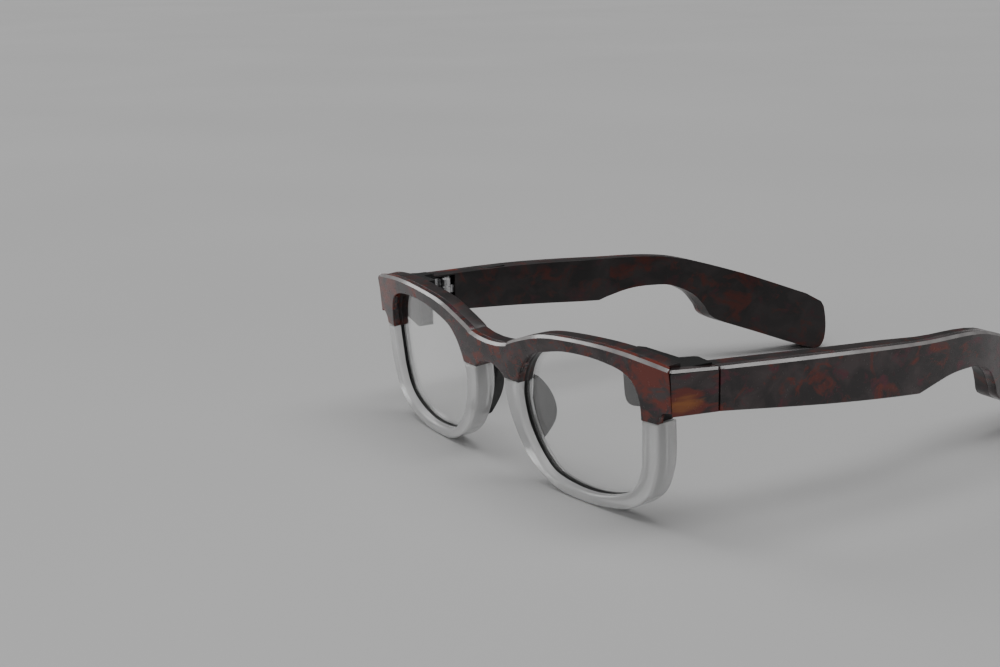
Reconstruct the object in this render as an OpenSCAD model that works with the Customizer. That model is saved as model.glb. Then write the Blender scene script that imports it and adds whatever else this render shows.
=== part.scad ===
// Smart glasses: browline front with clear lower rims, two folding temples that hold the
// electronics, a button and a slider.  +X is the wearer's left, the front faces -Y, +Z is up.

/* [Front] */
// Width of each lens opening
lens_w = 48.4; // [42:0.2:56]
// Height of each lens opening
lens_h = 37.1; // [32:0.1:44]
// Gap between the two lens openings
bridge_w = 26.2; // [20:0.2:32]
// Width of an end piece, outside the lens opening
end_w = 10.4; // [9.4:0.2:13]
// Width of the clear rim below the lens
rim_bottom = 3.1; // [2.4:0.1:5]
// Width of the clear rim beside the lens
rim_side = 5.9; // [4.6:0.1:7.4]
// Height of the brow above the lens opening
brow_w = 3.7; // [3.2:0.1:6]
// Thickness of the patterned front plate
brow_t = 2.2; // [1.6:0.1:3]
// Depth of the rims and of the brow, front to back
rim_depth = 6.2; // [5.6:0.1:8]
// Radius of the front's curve across the face
front_r = 412; // [250:1:800]
// Forward lean of the front, in degrees
front_lean = 5.1; // [0:0.1:10]

/* [Lenses and pads] */
// Thickness of a lens
lens_t = 1.8; // [1.4:0.1:2.4]
// How far a lens sits into its groove
lens_seat = 0.7; // [0.4:0.1:1]
// Wall of the gasket around a lens
gasket_wall = 0.7; // [0.4:0.1:1]
// Height of a nose pad
pad_h = 17; // [12:0.5:22]
// How far a nose pad stands back from the rim
pad_back = 5.6; // [3:0.2:8]
// Thickness of a nose pad
pad_t = 2.4; // [1.6:0.1:3.4]

/* [End pieces] */
// Distance from the foremost point of the front back to the temple seam
seam_y = 19.8; // [18:0.2:26]
// Thickness of the patterned cover on the side of an end piece
cover_t = 2.8; // [2:0.1:3.6]
// Width of the black housing behind an end piece
housing_w = 18.8; // [14:0.2:20]
// Wall of the end housings
housing_wall = 1; // [0.8:0.1:1.6]

/* [Temples] */
// Length of the deep part of a temple, seam to ear notch
arm_len = 65.6; // [56:0.2:80]
// Length of the notch that sits on the ear
notch_len = 41.2; // [34:0.2:50]
// Length of the paddle behind the ear
tip_len = 42; // [34:0.2:52]
// Thickness of the patterned outer plate
plate_t = 3; // [2.2:0.1:3.6]
// Thickness of the deep part, plate and shell together
arm_t = 7.3; // [6.6:0.1:9]
// Thickness over the ear
notch_t = 5.4; // [4.8:0.1:7]
// Thickness of the paddle
tip_t = 8.4; // [7:0.1:10]
// Wall of the temple shells
shell_wall = 0.8; // [0.6:0.1:1.2]
// Depth of a temple at its seam
arm_h = 11.1; // [10.6:0.1:14]

/* [Hinges] */
// Radius of a hinge screw
pin_r = 0.7; // [0.5:0.05:0.9]
// Radial running clearance of a hinge screw
pin_gap = 0.05; // [0.02:0.01:0.09]
// Outer radius of a hinge knuckle
knuckle_r = 1.7; // [1.5:0.05:2.1]
// Height of one hinge knuckle
knuckle_h = 2.5; // [2:0.1:3]
// Thickness of a hinge leaf
leaf_t = 1; // [0.8:0.1:1.3]
// Distance of the hinge axis behind the seam
axis_back = 4.7; // [4:0.1:6]
// Distance of the hinge axis inside the outer face
axis_in = 6.3; // [6:0.1:7.5]

/* [Controls and electronics] */
// Length of the action button on the right temple
button_l = 9; // [6:0.5:12]
// Width of the action button
button_w = 2; // [1.4:0.1:2.2]
// How far the action button stands proud of the shell
button_proud = 0.2; // [0.1:0.05:0.6]
// Travel of the action button
button_travel = 0.3; // [0.15:0.05:0.3]
// Length of the slider on the left temple
slider_l = 5; // [4:0.5:7]
// Travel of the slider
slider_travel = 2; // [1:0.5:3]
// Length of each battery
battery_l = 22; // [14:0.5:23]
// Thickness of each battery
battery_t = 1.8; // [1.2:0.1:2.2]
// Length of each speaker
speaker_l = 10; // [7:0.5:11]
// Clearance between pieces that move past each other
move_gap = 0.35; // [0.3:0.05:0.5]
// Clearance around pieces that fit into a pocket
fit_gap = 0.05; // [0.03:0.01:0.1]

/* [Hidden] */
$fn = 48;
arc_fn = 720;
tall = 90;
tortoise = "#4a2a20";
black = "#161618";
clear = [0.85, 0.88, 0.9, 0.45];
glass = [0.8, 0.86, 0.88, 0.3];
rubber = "#2a2a2c";
silver = "#c4c4c8";
green = "#1f5a3a";
copper = "#b5761e";
foil = "#8a8d92";
dark = "#303236";
gold = "#c9a24a";

lens_cx = bridge_w / 2 + lens_w / 2;
lens_cz = rim_bottom + lens_h / 2;
lens_top = rim_bottom + lens_h;
half_w = bridge_w / 2 + lens_w + end_w;
neck_z = rim_bottom + 0.65 * lens_h;
lean_z = 20;
steps = 3;

// Point at share t of the Catmull-Rom stretch between b and c
function crom(a, b, c, d, t) = 0.5 * (2 * b + (c - a) * t + (2 * a - 5 * b + 4 * c - d) * t * t
    + (3 * b - a - 3 * c + d) * t * t * t);
// Smooth closed curve through the points
function ring(p, n = steps) = let (m = len(p)) [for (i = [0:m - 1]) for (k = [0:n - 1])
    crom(p[(i + m - 1) % m], p[i], p[(i + 1) % m], p[(i + 2) % m], k / n)];
// Smooth open curve through the points, both ends kept
function curve(p, n = steps) = let (m = len(p)) concat([for (i = [0:m - 2]) for (k = [0:n - 1])
    crom(i == 0 ? 2 * p[0] - p[1] : p[i - 1], p[i], p[i + 1],
    i == m - 2 ? 2 * p[m - 1] - p[m - 2] : p[i + 2], k / n)], [p[m - 1]]);
function flip(p) = [for (i = [len(p) - 1:-1:0]) p[i]];
function unit(v) = v / norm(v);
// Counter-clockwise closed outline moved outwards by d
function grow(p, d) = let (m = len(p)) [for (i = [0:m - 1])
    let (a = unit(p[i] - p[(i + m - 1) % m]), b = unit(p[(i + 1) % m] - p[i]), t = unit(a + b),
    c = max(0.5, a * t)) p[i] + d / c * [t[1], -t[0]]];
// Smooth value at y from [y, value] knots
function seg(y, k, i = 0) = i >= len(k) - 2 || y < k[i + 1][0] ? i : seg(y, k, i + 1);
function slope(k, i) = let (a = max(i - 1, 0), b = min(i + 1, len(k) - 1))
    (k[b][1] - k[a][1]) / (k[b][0] - k[a][0]);
function knot(y, k) = let (i = seg(y, k), h = k[i + 1][0] - k[i][0], t = (y - k[i][0]) / h)
    (1 + 2 * t) * pow(1 - t, 2) * k[i][1] + t * pow(1 - t, 2) * h * slope(k, i)
    + t * t * (3 - 2 * t) * k[i + 1][1] - t * t * (1 - t) * h * slope(k, i + 1);

// How far the front surface lies back at x, for a layer d behind it
function sag(x, d = 0) = front_r - sqrt(pow(front_r - d, 2) - x * x);
rim_low = lean_z * (1 - cos(front_lean)) + sag(lens_cx) * sin(front_lean);

// Lens opening, as shares of its half width and half height
opening_shape = [[-0.51, -0.92], [-0.18, -1], [0.19, -1], [0.55, -0.9], [0.81, -0.72], [0.94, -0.41],
    [0.975, -0.09], [1, 0.29], [0.99, 0.56], [0.92, 0.79], [0.78, 0.91], [0.57, 0.97], [0.28, 1],
    [-0.09, 0.98], [-0.38, 0.91], [-0.65, 0.81], [-0.81, 0.66], [-0.92, 0.45], [-0.985, 0.21],
    [-0.99, 0], [-0.94, -0.28], [-0.84, -0.52], [-0.7, -0.74]];
opening = ring([for (p = opening_shape) [lens_cx + p[0] * lens_w / 2, lens_cz + p[1] * lens_h / 2]]);
// Outside of the clear rim, from the nose side round to the end piece
rim_shape = [[-1, 0.26], [-0.998, 0.08], [-0.98, -0.08], [-0.93, -0.26], [-0.82, -0.52], [-0.69, -0.72],
    [-0.5, -0.88], [-0.3, -0.97], [-0.04, -1], [0.26, -0.98], [0.6, -0.88], [0.83, -0.66],
    [0.94, -0.35], [0.975, -0.08], [0.987, 0.26]];
rim_outside = curve([for (p = rim_shape) [lens_cx + p[0] * (lens_w / 2 + rim_side),
    p[1] > 0.2 ? neck_z : lens_cz + p[1] * (lens_h / 2 + rim_bottom)]]);
rim_in_x = rim_outside[0][0];
rim_out_x = rim_outside[len(rim_outside) - 1][0];
// Top edge of the brow from the middle outwards: [share of the half width, height below the peak]
kink_x = bridge_w / 2 - 4;
brow_z = lens_top + brow_w;
brow_top = concat(curve([[0, brow_z - 7.7], [0.55 * kink_x, brow_z - 7.4], [kink_x, brow_z - 6.7]]),
    curve([for (p = [[0.02, -5.9], [0.115, -3.8], [0.255, -1.4], [0.41, -0.4], [0.585, 0], [0.73, -0.2],
    [0.85, -0.9], [1, -2.1]]) [kink_x + p[0] * (half_w - kink_x), brow_z + p[1]]]));
corner_z = neck_z + 3.6;
bridge_under = [[0, neck_z + 2.9], [0.3 * rim_in_x, neck_z + 2.7], [0.62 * rim_in_x, neck_z + 2],
    [0.86 * rim_in_x, neck_z + 0.9], [rim_in_x, neck_z]];
corner_under = [[rim_out_x, neck_z], [rim_out_x + 0.4, neck_z + 1.6], [rim_out_x + 1.8, corner_z - 0.6],
    [half_w - 1.4, corner_z - 0.2], [half_w, corner_z]];
side_outline = concat(curve(bridge_under), curve(corner_under), flip(brow_top));

// Temple curves, in the plane of the outer face
end_y = seam_y + move_gap;
notch_y = seam_y + arm_len;
paddle_y = notch_y + notch_len;
tip_y = paddle_y + tip_len;
face_x = [[seam_y, half_w + 0.1], [seam_y + 0.54 * arm_len, half_w + 3.4], [notch_y, half_w + 2.7],
    [notch_y + 0.65 * notch_len, half_w - 1.7], [paddle_y + 0.27 * tip_len, half_w - 9.8],
    [tip_y, half_w - 15.8]];
seam_top = lens_top + 0.4;
seam_bot = seam_top - arm_h;
top_at = [[seam_y, seam_top], [seam_y + 0.54 * arm_len, seam_top - 1.1], [notch_y, seam_top - 2.8],
    [notch_y + 0.65 * notch_len, 0.89 * seam_top], [paddle_y + 0.1 * tip_len, 0.765 * seam_top],
    [paddle_y + 0.5 * tip_len, 0.615 * seam_top], [paddle_y + 0.86 * tip_len, 0.47 * seam_top],
    [paddle_y + 0.95 * tip_len, 0.41 * seam_top]];
top_end = paddle_y + 0.95 * tip_len;
notch_low = [for (p = [[0, 0.81], [0.17, 0.865], [0.33, 0.905], [0.5, 0.912], [0.67, 0.89], [0.83, 0.78],
    [0.92, 0.63], [1, 0.475]]) [notch_y + p[0] * notch_len, p[1] * seam_bot]];
paddle_low = [for (p = [[0.32, 0.3], [0.55, 0.175], [0.75, 0.065], [0.86, 0.015], [0.91, 0]])
    [paddle_y + p[0] * tip_len, p[1] * seam_bot]];
tip_round = [[tip_y - 1.7, 0.8], [tip_y - 0.4, 3.4], [tip_y, 7.4], [tip_y - 0.35, 11.6],
    [tip_y - 1, 14.8]];
function face(y) = knot(y, face_x);
// How far round the outer face has turned at y, in degrees
function lie(y) = atan((face(y + 1) - face(y - 1)) / 2);
function ease(y, a, b) = let (t = min(1, max(0, (y - a) / (b - a)))) t * t * (3 - 2 * t);
function width(y) = arm_t + (notch_t - arm_t) * ease(y, notch_y - 9, notch_y + 8)
    + (tip_t - notch_t) * ease(y, notch_y + 27, paddle_y + 3);
function top(y) = knot(y, top_at);
function low(y) = seam_bot + (notch_low[0][1] - seam_bot) * (y - seam_y) / arm_len;
// Side view of a temple, starting at y0
function side_view(y0) = concat([[y0, low(y0)]], curve(concat(notch_low, paddle_low, tip_round)),
    [for (i = [24:-1:0]) let (y = y0 + (top_end - y0) * i / 24) [y, top(y)]]);
// Plan view of a layer of the temple, between two depths from the outer face; depths near full
// are measured back from the inner face
full = 1000;
function depth(y, d) = d > full / 2 ? width(y) + d - full : d;
function layer(y0, y1, near, far, n = 26) = concat(
    [for (i = [0:n]) let (y = y0 + (y1 - y0) * i / n) [face(y) - depth(y, near), y]],
    [for (i = [n:-1:0]) let (y = y0 + (y1 - y0) * i / n) [face(y) - depth(y, far), y]]);

// The middle of the outline of the whole object is the origin
lean_y = (brow_z - lean_z) * sin(front_lean);
origin_y = (tip_y - lean_y) / 2;

module placed() { translate([0, -origin_y, 0]) children(); }
module on_right() { mirror([1, 0, 0]) children(); }
module leaning() {
    translate([0, 0, lean_z - rim_low]) rotate([front_lean, 0, 0]) translate([0, 0, -lean_z]) children();
}
module along_y(p, y0 = -4, y1 = 30)
    { translate([0, y1, 0]) rotate([90, 0, 0]) linear_extrude(y1 - y0) polygon(p); }
module along_x(p, x0, x1) { translate([x0, 0, 0]) rotate([90, 0, 90]) linear_extrude(x1 - x0)
    polygon(p); }
module along_z(p, z0, z1) { translate([0, 0, z0]) linear_extrude(z1 - z0) polygon(p); }
module block(a, b) { translate(a) cube(b - a); }
function oblong(x0, x1, z0, z1) = [[x0, z0], [x1, z0], [x1, z1], [x0, z1]];
// The curved layer of the front between two depths
module front_layer(d0, d1) {
    translate([0, front_r, -10]) difference() {
        cylinder(r = front_r - d0, h = tall, $fn = arc_fn);
        translate([0, 0, -1]) cylinder(r = front_r - d1, h = tall + 2, $fn = arc_fn);
    }
}
module shaped(p, d0, d1) { intersection() { along_y(p); front_layer(d0, d1); } }

// Groove and seat depths behind the front surface
groove_near = brow_t;
groove_far = groove_near + lens_t + 2 * (0.55 + fit_gap);
lens_near = groove_near + 0.55 + fit_gap;
groove_out = lens_seat + fit_gap + gasket_wall;
mitre_y = sag(half_w);
tab_x = [for (x = [rim_in_x + 0.9, rim_out_x - 3.3]) [x, x + 2.2]];
tab_z = neck_z + 3.4;
tab_depth = [groove_far - 2.2, groove_far - 0.4];

// Outline of the whole brow, both sides
brow_outline = concat(side_outline, [for (p = flip(side_outline)) if (p[0] > 0.01) [-p[0], p[1]]]);
module both_openings(d, d0, d1) {
    for (s = [0, 1]) mirror([s, 0, 0]) shaped(grow(opening, d), d0, d1);
}
// Everything on the cover's side of the mitre at the corner
module beyond_mitre(g = 0) {
    leaning() along_z([[half_w + 3, mitre_y - 3 - g], [half_w - 5, mitre_y + 5 - g],
        [half_w - 5, mitre_y + 30], [half_w + 3, mitre_y + 30]], -5, 70);
}
module rim_tabs(g = 0) {
    for (t = tab_x)
        shaped(oblong(t[0] - g, t[1] + g, neck_z - 2, tab_z + g), tab_depth[0] - g, tab_depth[1] + g);
}
flex_band = [for (p = brow_top) if (p[0] < half_w - end_w - 4) p];
module flex_shape(g = 0) {
    for (s = [0, 1]) mirror([s, 0, 0])
        shaped(concat([for (p = flex_band) [p[0] - (p[0] < 0.01 ? 0.01 : 0), p[1] - 1.9 - g]],
        [for (p = flip(flex_band)) [p[0] - (p[0] < 0.01 ? 0.01 : 0), p[1] - 1 + g]]),
        brow_t - (g > 0 ? 0.1 : 0), brow_t + 0.3 + g);
}

module bridge_flex() {
    color(copper) leaning() flex_shape();
}
module brow_front() {
    color(tortoise) {
        difference() {
            leaning() difference() {
                shaped(brow_outline, 0, brow_t);
                both_openings(0, -2, brow_t + 2);
            }
            for (s = [0, 1]) mirror([s, 0, 0]) beyond_mitre();
        }
    }
}
liner_x = half_w - cover_t;
module brow_liner() {
    color(black) {
        leaning() difference() {
            intersection() {
                shaped(brow_outline, brow_t, rim_depth);
                block([-liner_x, -4, 0], [liner_x, 30, 60]);
            }
            both_openings(0, 0, rim_depth + 2);
            both_openings(groove_out, brow_t - 1, groove_far);
            for (s = [0, 1]) mirror([s, 0, 0]) rim_tabs(fit_gap);
            flex_shape(fit_gap);
        }
    }
}
module lower_rim() {
    color(clear) {
        leaning() difference() {
            union() {
                shaped(rim_outside, 0, rim_depth);
                rim_tabs();
            }
            shaped(opening, -2, rim_depth + 2);
            shaped(grow(opening, groove_out), groove_near, groove_far);
        }
    }
}
module lens() {
    color(glass) {
        leaning() shaped(grow(opening, lens_seat), lens_near, lens_near + lens_t);
    }
}
module lens_gasket() {
    color(rubber) {
        leaning() difference() {
            shaped(grow(opening, groove_out - fit_gap), groove_near + fit_gap, groove_far - fit_gap);
            shaped(grow(opening, fit_gap), 0, rim_depth + 2);
            shaped(grow(opening, lens_seat + fit_gap), lens_near - fit_gap, lens_near + lens_t + fit_gap);
        }
    }
}
// Crescent pad: straight front edge on the rim, bulging back towards the nose's side
pad_outline = concat([[-2.5, 0.6], [0, 0]], curve([[1.2, -0.1], [0.62 * pad_back, 0.1 * pad_h],
    [0.92 * pad_back, 0.27 * pad_h], [pad_back, 0.44 * pad_h], [0.88 * pad_back, 0.62 * pad_h],
    [0.6 * pad_back, 0.8 * pad_h], [0.25 * pad_back, 0.94 * pad_h], [0, pad_h]]), [[-2.5, pad_h - 0.6]]);
pad_top_z = neck_z + 0.9;
module nose_pad() {
    color(rubber) {
        difference() {
            translate([rim_in_x + 6.7, sag(rim_in_x) + rim_depth + 0.4, pad_top_z - pad_h])
                rotate([0, -13.5, -24]) along_x(pad_outline, -pad_t / 2, pad_t / 2);
            leaning() front_layer(-20, rim_depth);
        }
    }
}
module end_cover() {
    color(tortoise) {
        intersection() {
            along_x([[0, corner_z - 0.15], [seam_y, seam_bot], [seam_y, seam_top],
                [0, brow_z - 1.8]], half_w - cover_t, half_w);
            beyond_mitre(-fit_gap);
        }
    }
}
// End housing: plan outline with its back wall, and the space inside
housing_x = liner_x - housing_w;
housing_low = neck_z + 1.4;
function housing_top(x) = brow_z - 1.3 - 1.4 * (x - housing_x) / housing_w;
back_y = sag(lens_cx + lens_w / 2) + rim_depth + 1.8;
hinge_x = half_w - axis_in;
hinge_y = seam_y + axis_back;
leaf_x = hinge_x + 0.9;
housing_plan = [[housing_x, 2], [liner_x, 2], [liner_x, seam_y - 0.2], [hinge_x - 1.6, seam_y - 0.2],
    [hinge_x - 2.4, seam_y - 1], [hinge_x - 3.4, back_y + 2.4], [housing_x + 1.4, back_y + 0.4],
    [housing_x, back_y - 0.8]];
housing_face = concat([[liner_x, corner_z + 0.2], [liner_x, housing_top(liner_x)],
    [housing_x, housing_top(housing_x)]], curve([[housing_x, housing_low + 2.6],
    [housing_x + 0.4, housing_low + 1.1], [housing_x + 1.3, housing_low + 0.25],
        [housing_x + 2.8, housing_low]]));
room_plan = [[housing_x + housing_wall, 2], [leaf_x - 1, 2], [leaf_x - 1, back_y + 1.2],
    [hinge_x - 3.4, back_y + 1.2], [housing_x + housing_wall + 0.8, back_y - 0.6],
    [housing_x + housing_wall, back_y - 1]];
room_low = housing_low + housing_wall + 0.3;
room_top = housing_top(liner_x) - housing_wall;
screw_r = 0.5;
screw_x = housing_x + 3.2;
screw_z = [housing_low + 1.9, housing_top(liner_x) - 2.8];
lid_rise = 1.9 / (hinge_x - housing_x - 4.5);
screw_y = back_y - 0.6 + lid_rise * (screw_x - housing_x - 0.9);
module screw_shape(r, y0, y1) {
    for (z = screw_z) translate([screw_x, y1, z]) rotate([90, 0, 0]) cylinder(r = r, h = y1 - y0);
}
module screw_holes() {
    screw_shape(screw_r + fit_gap, screw_y - 2.2, screw_y + 20);
    screw_shape(1 + 2 * fit_gap, screw_y + 0.35, screw_y + 20);
}
module housing_outside() {
    difference() {
        intersection() {
            along_z(housing_plan, 0, 60);
            along_y(housing_face, 0, 40);
        }
        leaning() front_layer(-20, rim_depth);
    }
}
// The lid is the back wall, inside the hinge
module lid_region(g = 0) {
    along_z([[housing_x - 2, back_y - 1 + g], [housing_x + 0.9, back_y - 0.6 + g],
        [hinge_x - 3.6 - g, back_y + 1.3 + g],
        [hinge_x - 3.6 - g, back_y + 6], [housing_x - 2, back_y + 6]], 0, 60);
}
module end_housing() {
    color(black) {
        difference() {
            housing_outside();
            lid_region();
            difference() {
                along_z(room_plan, room_low, room_top);
                leaning() front_layer(-20, rim_depth + housing_wall);
                screw_shape(1.5, 0, 40);
            }
            screw_holes();
            block([leaf_x - fit_gap, leaf_front - fit_gap, hinge_z[0] - fit_gap],
                [leaf_x + leaf_t + fit_gap, 40, hinge_z[3] + fit_gap]);
        }
    }
}
module housing_lid() {
    color(black) {
        difference() {
            intersection() { housing_outside(); lid_region(fit_gap); }
            screw_holes();
        }
    }
}
module housing_screws() {
    color(silver) {
        for (s = [0, 1]) mirror([s, 0, 0]) difference() {
            union() {
                screw_shape(screw_r, screw_y - 2, screw_y + 0.5);
                screw_shape(1, screw_y + 0.35, screw_y + 0.9);
            }
            for (z = screw_z)
                block([screw_x - 0.7, screw_y + 0.65, z - 0.15], [screw_x + 0.7, screw_y + 2, z + 0.15]);
        }
    }
}
// Board against the housing's front wall, with one chip on it
board_at = rim_depth + housing_wall + 0.15;
module end_board() {
    color(green) {
        leaning() {
            shaped(oblong(screw_x + 2.2, leaf_x - 1.5, room_low + 0.4, room_top - 1.6), board_at,
                board_at + 0.7);
            shaped(oblong(screw_x + 3.4, leaf_x - 3, room_low + 2, room_top - 3.4), board_at + 0.6,
                board_at + 1.3);
        }
    }
}

// Hinge: three knuckles on a screw, two on the front leaf and one on the rear leaf
stack_gap = 0.1;
head_h = 0.5;
hinge_mid = (seam_top + seam_bot) / 2 + 0.4;
stack = 3 * knuckle_h + 2 * stack_gap;
hinge_z = [for (k = [hinge_mid - stack / 2, hinge_mid - knuckle_h / 2 - stack_gap,
    hinge_mid + knuckle_h / 2 + stack_gap, hinge_mid + stack / 2]) k];
leaf_front = back_y + 2.6;
leaf_rear = hinge_y + 9.5;
module knuckle(z0, z1, y0, y1) {
    difference() {
        union() {
            translate([hinge_x, hinge_y, z0]) cylinder(r = knuckle_r, h = z1 - z0);
            block([leaf_x, y0, z0], [leaf_x + leaf_t, y1, z1]);
            block([hinge_x, min(hinge_y, y0 < hinge_y ? hinge_y - 1.4 : hinge_y), z0],
                [leaf_x + 0.2, max(hinge_y, y1 > hinge_y ? hinge_y + 1.4 : hinge_y), z1]);
        }
        translate([hinge_x, hinge_y, z0 - 1]) cylinder(r = pin_r + pin_gap, h = z1 - z0 + 2);
    }
}
module front_hinge_leaf() {
    color(silver) {
        knuckle(hinge_z[0], hinge_z[1], leaf_front, hinge_y);
        knuckle(hinge_z[2], hinge_z[3], leaf_front, hinge_y);
        block([leaf_x, leaf_front, hinge_z[0]], [leaf_x + leaf_t, seam_y - 0.2, hinge_z[3]]);
    }
}
module rear_hinge_leaf() {
    color(silver) {
        knuckle(hinge_z[1] + stack_gap, hinge_z[2] - stack_gap, hinge_y, leaf_rear);
        block([leaf_x, shell_y + 1, hinge_z[1] - 1.6], [leaf_x + leaf_t, leaf_rear, hinge_z[2] + 1.6]);
    }
}
module hinge_screw() {
    color(silver) {
        difference() {
            union() {
                translate([hinge_x, hinge_y, hinge_z[0]])
                    cylinder(r = pin_r, h = hinge_z[3] - hinge_z[0] + 0.1);
                translate([hinge_x, hinge_y, hinge_z[3]]) cylinder(r = 1.35, h = head_h);
            }
            block([hinge_x - 2, hinge_y - 0.2, hinge_z[3] + 0.3],
                [hinge_x + 2, hinge_y + 0.2, hinge_z[3] + 1]);
        }
    }
}

// Temple: patterned plate outside, black shell inside
shell_y = hinge_y + 3.6;
lip_t = 1.1;
edge_wall = 1.2;
room_y = [shell_y + 3, notch_y - 2];
module temple_body(y0, p) {
    intersection() {
        along_z(p, -2, tall);
        along_x(side_view(y0), 30, half_w + 8);
    }
}
module temple_plate() {
    color(tortoise) temple_body(end_y, layer(end_y, tip_y, 0, plate_t));
}
// Space between two depths and two stations, a wall's distance inside the side view
module arm_room(y0, y1, near, far) {
    intersection() {
        along_z(layer(y0, y1, near, far, 12), 0, tall);
        along_x(concat([for (y = [y0 - 1, y1 + 1]) [y, low(y) + edge_wall]],
            [for (i = [8:-1:0]) let (y = y0 - 1 + (y1 - y0 + 2) * i / 8) [y, top(y) - edge_wall]]),
            30, half_w + 8);
    }
}
module shell_shape() {
    difference() {
        temple_body(end_y, layer(end_y, tip_y, plate_t, full));
        // room for the hinge knuckles ahead of the shell, under a thin cap
        along_z(concat([[30, end_y - 2], [30, shell_y]], [for (y = [shell_y, end_y - 2])
            [face(max(y, seam_y)) - plate_t - lip_t, y]]), -2, hinge_z[3] + head_h + 0.15);
        arm_room(room_y[0], room_y[1], plate_t - 0.5, full - shell_wall);
        // slot for the rear hinge leaf
        block([leaf_x - fit_gap, shell_y - 2, hinge_z[1] - 1.6 - fit_gap],
            [leaf_x + leaf_t + fit_gap, leaf_rear + fit_gap, hinge_z[2] + 1.6 + fit_gap]);
    }
}
// Stations of what the shells hold
board_y = [shell_y + 12, shell_y + 21];
speaker_y = [notch_y - 3 - speaker_l, notch_y - 3];
battery_y = [board_y[1] + 1, min(board_y[1] + 1 + battery_l, speaker_y[0] - 0.3)];
// Thickness of the space in a shell, and its middle as a depth from the outer face
room_t = arm_t - shell_wall - plate_t;
part_mid = plate_t + room_t / 2;
board_in = room_t / 2 - 0.85;
speaker_t = room_t - 1.6;
// Frame at a station and a depth from the outer face, turned along the face
module in_arm(y, d, z = 0) { translate([face(y) - d, y, z]) rotate([0, 0, -lie(y)]) children(); }
module inner_piece(y, t, z0, z1, shift = 0) {
    l = y[1] - y[0];
    in_arm((y[0] + y[1]) / 2, part_mid - shift) block([-t / 2, -l / 2, z0], [t / 2, l / 2, z1]);
}
function mid_z(y) = (low(y) + top(y)) / 2;
// Speaker grille, let into the underside of the shell, with a duct above it
grille_y = [speaker_y[0] + 1, speaker_y[1] - 1];
grille_in = [plate_t + 0.8, full - 1.3];
module under_band(y0, y1, z0, z1) {
    along_x([[y0, low(y0) + z0], [y1, low(y1) + z0], [y1, low(y1) + z1], [y0, low(y0) + z1]],
        30, half_w + 8);
}
module grille_shape(g = 0, z0 = 0.1, z1 = 0.6) {
    y = [grille_y[0] - g, grille_y[1] + g];
    intersection() {
        along_z(layer(y[0], y[1], grille_in[0] - g, grille_in[1] + g, 6), 0, tall);
        under_band(y[0], y[1], z0, z1);
    }
}
module grille_cut() {
    grille_shape(fit_gap, -1, 0.6 + fit_gap);
    grille_shape(-0.3, 0, edge_wall + 1);
}
// Action button: a pill through the top of the right shell, over a switch on the board
button_mid = (board_y[0] + board_y[1]) / 2;
button_top = top(button_mid);
skin = 1.2;
flange_t = 0.5;
button_z = button_top - skin - 0.2 - flange_t - button_travel - 0.07;
switch_h = 1;
module pill(l, w, z0, z1) {
    in_arm(button_mid, part_mid, z0) linear_extrude(z1 - z0)
        union() {
            square([w, l - w], center = true);
            for (s = [-1, 1]) translate([0, s * (l - w) / 2]) circle(r = w / 2);
        }
}
module action_button() {
    color(black) {
        pill(button_l, button_w, button_top - skin - 0.3, button_top + button_proud);
        pill(button_l + 0.9, min(button_w + 0.9, room_t - 0.6),
            button_top - skin - 0.2 - flange_t, button_top - skin - 0.2);
    }
}
module button_cut() { pill(button_l + 0.3, button_w + 0.3, button_top - 4, button_top + 4); }
module button_switch() {
    color(dark) pill(3.4, 1.7, button_z - switch_h, button_z);
}
// Slider: a knob through the inner wall of the left shell, along the face's own slope
slider_y = button_mid;
module at_inner_face(y, z) { in_arm(y, width(y), z) children(); }
slider_z = mid_z(board_y[0]) - 1.4;
module power_slider() {
    color(black) {
        at_inner_face(slider_y, slider_z) {
            difference() {
                block([-0.5, -slider_l / 2 - slider_travel / 2, -0.9],
                    [0.9, slider_l / 2 - slider_travel / 2, 0.9]);
                for (i = [-2:2]) block([-1, i * 0.7 - 0.12 - slider_travel / 2, -1],
                    [-0.3, i * 0.7 + 0.12 - slider_travel / 2, 1]);
            }
            block([shell_wall + 0.1, -slider_l / 2 - slider_travel / 2 - 0.6, -1.4],
                [shell_wall + 0.6, slider_l / 2 - slider_travel / 2 + 0.6, 1.4]);
        }
    }
}
module slider_cut() {
    at_inner_face(slider_y, slider_z)
        block([-2, -slider_l / 2 - slider_travel / 2 - 0.15, -1.05],
            [3, slider_l / 2 + slider_travel / 2 + 0.15, 1.05]);
}
module slider_switch() {
    color(dark) {
        at_inner_face(slider_y, slider_z)
            block([shell_wall + 0.7, -1.6, -0.8], [arm_t - part_mid - 0.25, 1.6, 0.8]);
    }
}
// Charging contacts: two plated pads in a flat carrier, set into the left shell's inner wall
contact_y = battery_y[0] + 6;
contact_l = 9;
contact_h = 4;
module charge_contacts() {
    color(gold) {
        at_inner_face(contact_y, mid_z(contact_y)) {
            block([0, -contact_l / 2, -contact_h / 2], [shell_wall, contact_l / 2, contact_h / 2]);
            for (s = [-1, 1]) translate([shell_wall - 0.1, s * 2.2, 0]) rotate([0, 90, 0])
                cylinder(r = 1.2, h = 0.3);
        }
    }
}
module contact_cut() {
    at_inner_face(contact_y, mid_z(contact_y))
        block([-1, -contact_l / 2 - fit_gap, -contact_h / 2 - fit_gap],
            [shell_wall + 0.6, contact_l / 2 + fit_gap, contact_h / 2 + fit_gap]);
}
module touch_strip() {
    color(copper) {
        intersection() {
            along_z(layer(battery_y[0], speaker_y[0], plate_t + 0.02, plate_t + 0.09, 12), 0, tall);
            along_x(concat([for (y = [board_y[0], speaker_y[1]]) [y, mid_z(y) + 1.1]],
                [for (y = [speaker_y[1], board_y[0]]) [y, mid_z(y) + 4]]), 30, half_w + 8);
        }
    }
}
module temple_shell(left) {
    color(black) {
        difference() {
            shell_shape();
            grille_cut();
            mic_port();
            if (left) { slider_cut(); contact_cut(); }
            else button_cut();
        }
    }
}
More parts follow.
